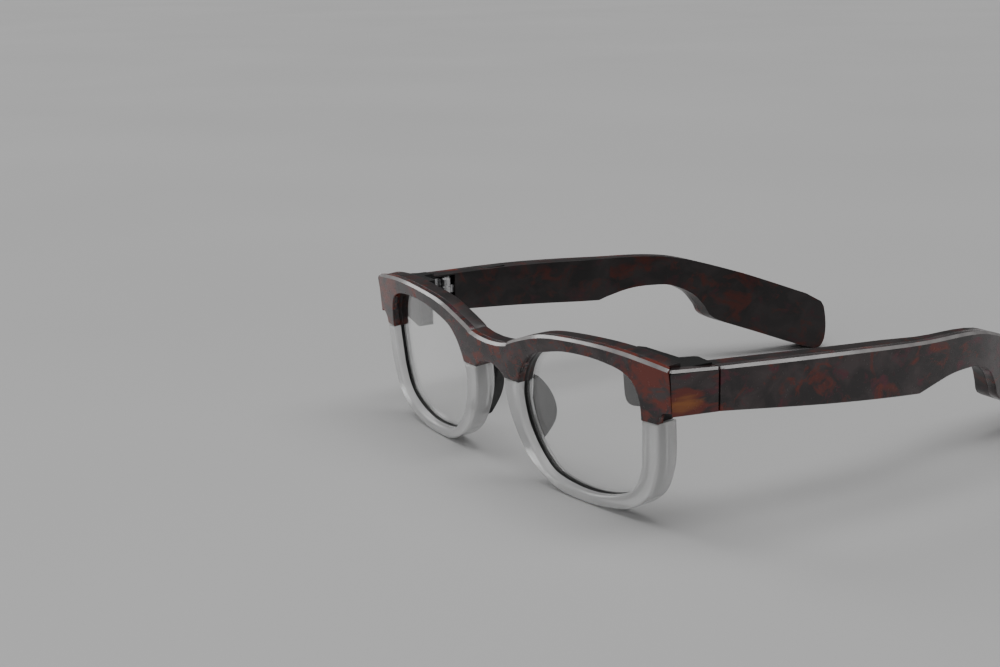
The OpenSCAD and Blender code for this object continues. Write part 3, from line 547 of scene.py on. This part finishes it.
bridgeUnder = smoothCurve([[0, neckZ + 2.9], [0.3 * rimInX, neckZ + 2.7], [0.62 * rimInX, neckZ + 2],
                           [0.86 * rimInX, neckZ + 0.9], [rimInX, neckZ]], 10)
cornerUnder = smoothCurve([[rimOutX, neckZ], [rimOutX + 0.4, neckZ + 1.6], [rimOutX + 1.8, cornerZ - 0.6],
                           [halfW - 1.4, cornerZ - 0.2], [halfW, cornerZ]], 10)


# the stretch of the opening above or below the neck line, from the nose side to the outer side
def openingPart(above):
    z = opening[:, 1] - neckZ
    nxt = np.roll(opening, -1, 0)
    cross = np.nonzero(z * np.roll(z, -1) < 0)[0]
    hit = [opening[i] + (nxt[i] - opening[i]) * (z[i] / (z[i] - np.roll(z, -1)[i])) for i in cross]
    hit = sorted(hit, key=lambda p: p[0])
    part = opening[z > 0] if above else opening[z < 0]
    start = int(np.argmin(np.linalg.norm(part - hit[0], axis=1)))
    part = np.roll(part, -start, 0)
    if np.linalg.norm(part[1] - hit[0]) > np.linalg.norm(part[-1] - hit[0]):
        part = np.roll(part[::-1], 1, 0)
    return np.concatenate([[hit[0]], part, [hit[1]]])


overLens, underLens = openingPart(True), openingPart(False)
counts = dict(bridge=18, neck=8, noseSide=16, overLens=70, outerSide=16, outerNeck=8, corner=12)


# points of the brow's top edge at x
def topAt(x):
    return np.stack([x, np.interp(x, browTop[:, 0], browTop[:, 1])], -1)


# right half of the brow: lower chain and the points of the top edge that pair with it
def browHalf():
    c = counts
    turnIn = int(np.argmin(np.abs(overLens[:len(overLens) // 3, 1] - (lensTop - 5.5))))
    outer = overLens[::-1][:len(overLens) // 3, 1]
    turnOut = len(overLens) - 1 - int(np.argmin(np.abs(outer - (lensTop - 3))))
    low = joined([(bridgeUnder, c["bridge"]), ([bridgeUnder[-1], overLens[0]], c["neck"]),
                  (overLens[:turnIn + 1], c["noseSide"]), (overLens[turnIn:turnOut + 1], c["overLens"]),
                  (overLens[turnOut:], c["outerSide"]), ([overLens[-1], cornerUnder[0]], c["outerNeck"]),
                  (cornerUnder, c["corner"])])
    marks = [0, 0.8 * kinkX, kinkX, kinkX + 6, halfW - 14, halfW - 7, halfW - 5, halfW]
    xs = np.concatenate([np.linspace(a, b, k, endpoint=False) for a, b, k in
                         zip(marks[:-1], marks[1:], c.values())] + [[halfW]])
    return low, topAt(xs)


# a chain of the right half joined to its mirror image
def bothHalves(chain):
    return np.concatenate([chain[::-1][:-1] * [-1, 1], chain])


lowHalf, highHalf = browHalf()
browLow, browHigh = bothHalves(lowHalf), bothHalves(highHalf)


# n points in a straight line from a to b
def column(a, b, n=9):
    return np.linspace(a, b, n)


# the groove for the lens and its gasket, as depths behind the front and a width outwards
grooveNear = f["plateDepth"]
lensNear = grooveNear + f["gasketSide"] + f["fitGap"]
grooveFar = grooveNear + f["lensT"] + 2 * (f["gasketSide"] + f["fitGap"])
grooveOut = f["lensSeat"] + f["fitGap"] + f["gasketWall"]

browEnds = (column(browLow[-1], browHigh[-1]), column(browLow[0], browHigh[0]))
browEase = dict(ease=0.35, easeTop=0.75, easeFar=0.08)
brow = plate("browFront", browLow, browEnds[0], browHigh, browEnds[1], f["plateDepth"] - 0.02, mitredPlace,
             "front", **browEase)
# the brow's top chamfer takes the painted highlight
finish(brow, "brow", "edge")
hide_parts("brow_front")

linerLook = dict(ease=0.15, easeFar=0.7)
linerIn = 2.8   # how far the liner's ends stop short of the brow's


# the front's place behind the plate, drawn in at the ends by a high power of the share across
def linerPlace(x, z, d):
    share = np.clip(np.abs(x) / halfW, 0, 1)
    return frontPlace(x * (1 - share ** 12 * linerIn / halfW), z, d + f["plateDepth"])


liner = plate("browLiner", browLow, browEnds[0], browHigh, browEnds[1], f["depth"] - f["plateDepth"],
              linerPlace, "front", **linerLook)
finish(liner, "inner")
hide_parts("brow_liner")
print("brow made")


rimLook = dict(ease=0.8, easeFar=0.9, steps=5)
gasketRound = 0.15
lensLook = dict(ease=0.2, dome=0.9, overlap=0.1, start=212, quarter=60)
for side, flip in (("left", False), ("right", True)):
    outer, inner = evenly(rimOutside, 150), evenly(underLens, 150)
    rim = plate("lowerRim_" + side, outer, column(outer[-1], inner[-1], 7), inner, column(outer[0], inner[0], 7),
                f["depth"], frontPlace, "front", groove=(grooveNear, grooveFar, grooveOut), mirror=flip, **rimLook)
    finish(rim, "crystal")
    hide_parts("lower_rim_" + side)
    loop = evenly(np.concatenate([opening, opening[:1]]), 241)[:-1]
    gap = f["fitGap"]
    section = roundedBox(gap, grooveOut - gap, grooveNear + gap, grooveFar - gap, gasketRound)
    grip = band("lensGasket_" + side, loop, section, frontPlace, "front", flip)
    finish(grip, "gasket")
    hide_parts("lens_gasket_" + side)
    # the lens reaches into the gasket; its outline is cut into four equal sides
    edge = np.roll(loop - inward(loop) * (f["lensSeat"] - lensLook["overlap"]), -lensLook["start"], 0)
    q = lensLook["quarter"]
    parts = [edge[:q + 1], edge[q:2 * q + 1], edge[2 * q:3 * q + 1], np.concatenate([edge[3 * q:], edge[:1]])]
    lens = plate("lens_" + side, parts[0], parts[1], parts[2][::-1], parts[3][::-1], f["lensT"],
                 lambda x, z, d: frontPlace(x, z, d + lensNear), "front", ease=lensLook["ease"],
                 dome=lensLook["dome"], mirror=flip)
    finish(lens, "lens")
    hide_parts("lens_" + side)
print("rims, gaskets and lenses made")

# nose pads: a crescent, its straight edge on the rim, its face towards the nose
pad = dict(high=17.0, back=5.6, thick=2.4, round=0.95, toe=24.0, splay=13.5, out=6.7, behind=0.4, up=0.9)


# u back, w up and d through the pad, leaned by the splay, then turned by the toe
def padPlace(u, w, d):
    toe, splay = math.radians(-pad["toe"]), math.radians(-pad["splay"])
    bow = f["radius"] - math.sqrt(f["radius"] ** 2 - rimInX ** 2)
    base = [rimInX + pad["out"], bow + f["depth"] + pad["behind"], neckZ + pad["up"] - pad["high"]]
    x = -(d - pad["thick"] / 2)
    x1, z1 = x * math.cos(splay) + w * math.sin(splay), -x * math.sin(splay) + w * math.cos(splay)
    x2, y2 = x1 * math.cos(toe) - u * math.sin(toe), x1 * math.sin(toe) + u * math.cos(toe)
    return np.stack([x2 + base[0], y2 + base[1], z1 + base[2]], -1)


padBulge = smoothCurve([[0, 0.1], [0.25, -0.02], [0.62, 0.1], [0.92, 0.27], [1, 0.44], [0.88, 0.62], [0.6, 0.8],
                        [0.25, 0.94], [0, 0.995]], 10)
padBulge = evenly(padBulge * [pad["back"], pad["high"]], 81)
padFront = evenly(np.array([[-0.55, 0.6], [-0.75, pad["high"] * 0.5], [-0.15, pad["high"] - 0.4]]), 81)
for side, flip in (("left", False), ("right", True)):
    ob = plate("nosePad_" + side, padBulge, column(padBulge[-1], padFront[-1], 4), padFront,
               column(padBulge[0], padFront[0], 4), pad["thick"],
               padPlace, "front", ease=pad["round"], mirror=flip, steps=6)
    finish(ob, "rubber")
    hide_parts("nose_pad_" + side)
print("nose pads made")

# end covers: mottled sides of the end pieces, mitred into the brow
cover = dict(thick=2.8, ease=0.2, easeTop=0.75, easeRight=0.35, easeFar=0.1)
mitreY = f["radius"] - math.sqrt(f["radius"] ** 2 - halfW ** 2)


# the corner's y at height z, where the leaning front's outer edge passes
def cornerY(z):
    lean = math.radians(f["leanDeg"])
    return mitreY * math.cos(lean) - (z - f["leanZ"]) * math.tan(lean)


# y and z on the outer face, d inwards; the near end moves back with the depth along the mitre
def coverPlace(y, z, d):
    near = cornerY(z)
    share = np.clip((t["seamY"] - y) / (t["seamY"] - near), 0, 1)
    return np.stack([halfW - d, y + (d + 0.05) * share, z], -1)


# straight edge of the cover from the leaning corner to the seam
def coverEdge(zNear, zSeam, n=41):
    z0 = zNear + (zSeam - zNear) * cornerY(zNear) / t["seamY"]
    return np.linspace([cornerY(z0), z0], [t["seamY"], zSeam], n)


coverLow, coverHigh = coverEdge(cornerZ - 0.15, seamBot), coverEdge(browZ - 1.8, seamTop)
for side, flip in (("left", False), ("right", True)):
    ob = plate("endCover_" + side, coverLow, column(coverLow[-1], coverHigh[-1], 25), coverHigh,
               column(coverLow[0], coverHigh[0], 25), cover["thick"], coverPlace, "front", ease=cover["ease"],
               easeTop=cover["easeTop"], easeRight=cover["easeRight"], easeFar=cover["easeFar"], mirror=flip)
    # the cover's top and seam chamfers take the painted highlight
    finish(ob, "cover", "edge")
    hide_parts("end_cover_" + side)
print("end covers made")

# temples: outline of the outer plate, then the plate itself
endY = t["seamY"] + t["seamGap"]
notchLow = [[notchY + p[0] * t["notchLen"], p[1] * seamBot] for p in
            [[0, 0.81], [0.17, 0.865], [0.33, 0.905], [0.5, 0.912], [0.67, 0.89], [0.83, 0.78], [0.92, 0.63],
             [1, 0.475]]]
paddleLow = [[paddleY + p[0] * t["tipLen"], p[1] * seamBot] for p in
             [[0.32, 0.3], [0.55, 0.175], [0.75, 0.065], [0.86, 0.015], [0.91, 0]]]
tipRound = [[tipY - 1.7, 0.8], [tipY - 0.4, 3.4], [tipY, 7.4], [tipY - 0.35, 11.6], [tipY - 1, 14.8]]
lowCurve = smoothCurve(notchLow + paddleLow + tipRound, 12)
lowest = 12 * (len(notchLow) + len(paddleLow) - 1)
armStart = [endY, seamBot - (seamBot - notchLow[0][1]) * (endY - t["seamY"]) / t["armLen"]]
armLow = joined([([armStart, notchLow[0]], 60), (lowCurve[:lowest + 1], 140)])
topLine = np.linspace(endY, topEnd, 400)
armHigh = evenly(np.stack([topLine, knotValue(topLine, topKnots)], -1), 201)
tipEdge = evenly(np.concatenate([lowCurve[lowest:], armHigh[-1:]]), 21)
armEase = dict(ease=0.4, easeTop=0.75, easeFar=0.12)


for side, flip in (("left", False), ("right", True)):
    body = "temple_" + side
    ob = plate("templePlate_" + side, armLow, tipEdge, armHigh, column(armLow[0], armHigh[0], 21), t["plateT"],
               templePlace, body, mirror=flip, **armEase)
    # the plate's top chamfer takes the painted highlight
    finish(ob, "arm", "edge")
    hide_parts("temple_plate_" + side)
print("temple plates made")

# copies of the other nodes: finish and bevel width in mm
shellWidth = 0.35
inTemple = dict(
    rear_hinge_leaf=("steel", 0.12), battery=("foil", 0.3), temple_board=("board", 0.05), speaker=("dark", 0.2),
    speaker_grille=("dark", 0.04), microphone=("foil", 0.08), temple_flex=("flex", 0.02))
inFront = dict(
    end_housing=("black", 0.3), housing_lid=("black", 0.2), front_hinge_leaf=("steel", 0.12),
    hinge_screw=("steel", 0.1), end_board=("board", 0.05))
single = dict(
    housing_screws=("front", "steel", 0.05), bridge_flex=("front", "flex", 0.03),
    charge_contacts=("temple_left", "gold", 0.06), touch_strip=("temple_right", "flex", 0.01),
    action_button=("action_button", "control", 0.12), button_switch=("temple_right", "dark", 0.08),
    power_slider=("power_slider", "control", 0.05), slider_switch=("temple_left", "dark", 0.08))
for side in ("left", "right"):
    finish(eased("temple_shell_" + side, "temple_" + side, shellWidth), "inner")
    for group, body in ((inTemple, "temple_" + side), (inFront, "front")):
        for node, (key, width) in group.items():
            finish(eased(node + "_" + side, body, width), key)
for node, (body, key, width) in single.items():
    finish(eased(node, body, width), key)
print("housings, hinges and inner parts eased")

# floor, lights and camera
floorSize = 14.0   # in metres
floorGrey = (0.5, 0.53)
me = bpy.data.meshes.new("floor")
s = floorSize / 2
me.from_pydata([(-s, -s, 0), (s, -s, 0), (s, s, 0), (-s, s, 0)], [], [(0, 1, 2, 3)])
floor = bpy.data.objects.new("floor", me)
bpy.context.collection.objects.link(floor)
mat, tree, shader, where = newMaterial("paleFloor", Roughness=0.55)
stops = [(0.3, (floorGrey[0],) * 3), (0.7, (floorGrey[1],) * 3)]
tree.links.new(ramp(tree, noise(tree, where, 3, 2), stops), shader.inputs["Base Color"])
me.materials.append(mat)

studio = dict(grey=0.8, strength=0.13)
world = bpy.data.worlds.new("studio")
world.use_nodes = True
sky = world.node_tree.nodes["Background"]
sky.inputs["Color"].default_value = (*(studio["grey"],) * 3, 1)
sky.inputs["Strength"].default_value = studio["strength"]
bpy.context.scene.world = world

# a broad soft sky lamp for the even floor, narrower ones for the long highlights and the clear rims
lights = dict(
    sky=dict(towards=(-0.05, -0.05, 1), angle=64, power=1.72),
    overhead=dict(towards=(0.23, 0.52, 0.82), angle=28, power=0.46),
    sideLeft=dict(towards=(-0.82, -0.23, 0.52), angle=26, power=0.6),
    frontRight=dict(towards=(0.3, -0.85, 0.45), angle=50, power=0.6))


# axes of a camera or lamp that looks along minus back: right is up crossed with back, then the roll
def turned(back, roll=0.0):
    b = np.asarray(back, float) / np.linalg.norm(back)
    right = np.cross([0, 0, 1], b)
    right /= np.linalg.norm(right)
    up = np.cross(b, right)
    c, s = math.cos(roll), math.sin(roll)
    return right * c + up * s, -right * s + up * c, b


# the object's matrix has those axes and its place as columns
def placeObject(ob, place, back, roll=0.0):
    columns = np.stack([*turned(back, roll), np.asarray(place, float)], 1)
    ob.matrix_world = Matrix(np.vstack([columns, [0, 0, 0, 1]]).tolist())


for name, l in lights.items():
    data = bpy.data.lights.new(name, "SUN")
    data.energy = l["power"]
    data.angle = math.radians(l["angle"])
    lamp = bpy.data.objects.new(name, data)
    bpy.context.collection.objects.link(lamp)
    placeObject(lamp, l["towards"], l["towards"])

view = dict(azimuth=57.78, elevation=13.42, roll=-0.86, place=(361.78, -224.96, 139.28), lens=58.47, sensor=36,
            clip=0.01)
az, el = math.radians(view["azimuth"]), math.radians(view["elevation"])
camData = bpy.data.cameras.new("camera")
camData.lens = view["lens"]
camData.sensor_width = view["sensor"]
camData.clip_start = view["clip"]
camera = bpy.data.objects.new("camera", camData)
bpy.context.collection.objects.link(camera)
x, y, z = view["place"]
placeObject(camera, (x * mm, (y - originY) * mm, z * mm),
            (math.sin(az) * math.cos(el), -math.cos(az) * math.cos(el), math.sin(el)), math.radians(view["roll"]))
bpy.context.scene.camera = camera
print("floor, lights and camera set")

bpy.context.view_layer.update()
